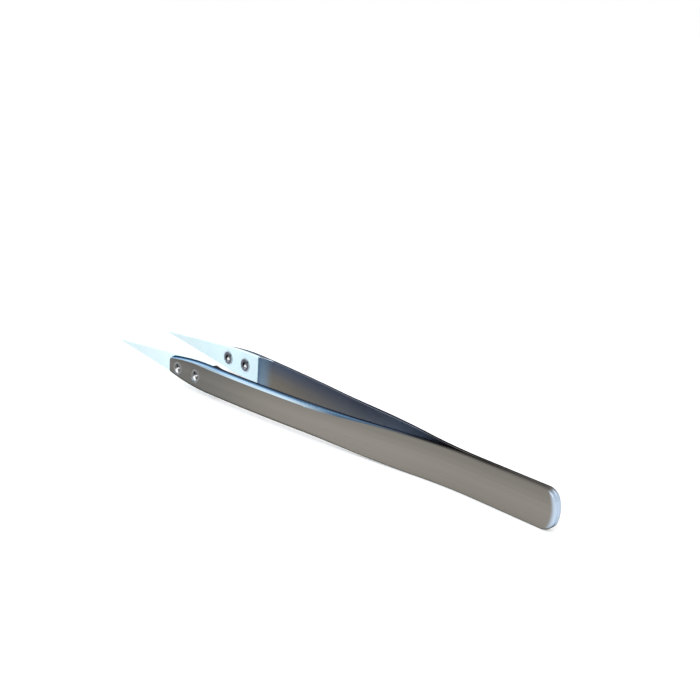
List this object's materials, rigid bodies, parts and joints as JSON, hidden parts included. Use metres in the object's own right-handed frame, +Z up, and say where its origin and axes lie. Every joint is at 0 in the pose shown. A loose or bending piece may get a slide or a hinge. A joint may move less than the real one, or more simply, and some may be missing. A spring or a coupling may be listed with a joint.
{
  "type": "ceramic-tipped tweezers",
  "caption": "Fine-point tweezers: sprung stainless arms welded at the rear end, with screwed-on white ceramic points for handling small parts in a cleanroom.",
  "frame": {"origin": "middle of the footprint, on the surface that the lower long edges of the arms stand on", "axes": "+X from the welded end towards the points, +Y across the opening towards the left arm, +Z up across the width of the arms"},
  "size_m": [0.13, 0.0172, 0.0082],
  "materials": {
    "arm_steel": "fine lengthwise brushing, satin",
    "point_ceramic": "polished white zirconia",
    "screw_steel": "bright turned heads",
    "nut_steel": "dark, slightly shiny"
  },
  "bodies": {
    "root": {"left_arm": "arm_steel", "right_arm": "arm_steel", "left_ceramic_point": "point_ceramic", "right_ceramic_point": "point_ceramic", "left_front_screw": "screw_steel", "left_rear_screw": "screw_steel", "right_front_screw": "screw_steel", "right_rear_screw": "screw_steel", "left_front_nut": "nut_steel", "left_rear_nut": "nut_steel", "right_front_nut": "nut_steel", "right_rear_nut": "nut_steel"}
  },
  "joints": []
}
